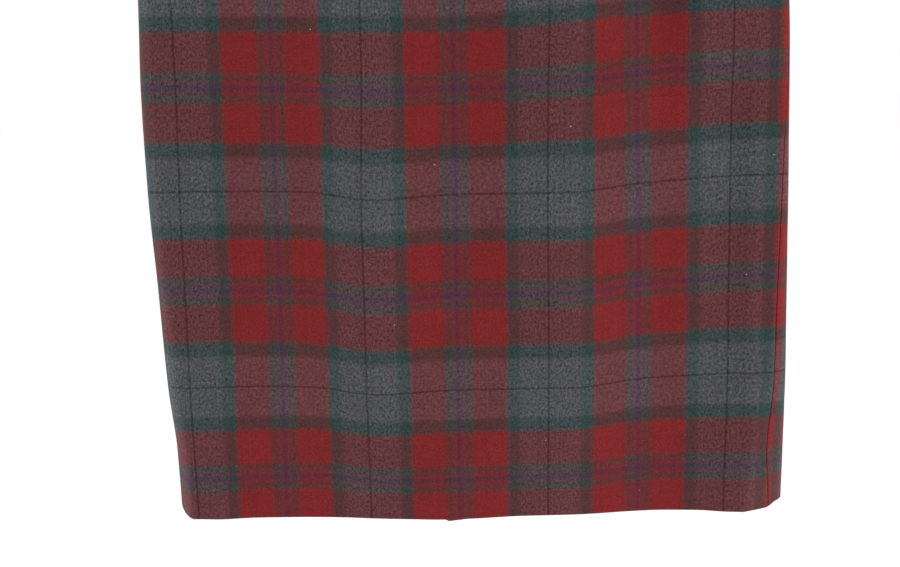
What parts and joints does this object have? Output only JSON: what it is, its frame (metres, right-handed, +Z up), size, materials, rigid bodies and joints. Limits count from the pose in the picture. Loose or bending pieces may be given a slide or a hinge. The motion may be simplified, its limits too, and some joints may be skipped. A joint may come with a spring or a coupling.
{
  "type": "straight plaid skirt",
  "caption": "Straight knee-length skirt in plaid woollen cloth, hanging as a soft flattened tube, with a waistband, back zip and back vent.",
  "frame": {"origin": "middle of the waist's upper edge, where the skirt is held", "axes": "+Z up, the front faces -Y, +X is to the right of someone facing the front"},
  "size_m": [0.4673, 0.0576, 0.64],
  "materials": {
    "cloth": "matt woollen twill in a plaid of red, dark green and grey",
    "tape": "woven polyester tape",
    "zip_metal": "dark antiqued metal",
    "button": "satin moulded resin"
  },
  "bodies": {
    "skirt": {"front_panel": "cloth", "back_panel_left": "cloth", "back_panel_right": "cloth", "waistband": "cloth", "zip_tape": "tape", "zip_slider": "zip_metal", "waist_button": "button"},
    "pull": {"zip_pull": "zip_metal"}
  },
  "joints": [
    {"name": "pull_swing", "type": "hinge", "parent": "skirt", "child": "pull", "pos_m": [0, 0.01745, -0.042], "axis": [1, 0, 0], "range_deg": [0, 165]}
  ]
}
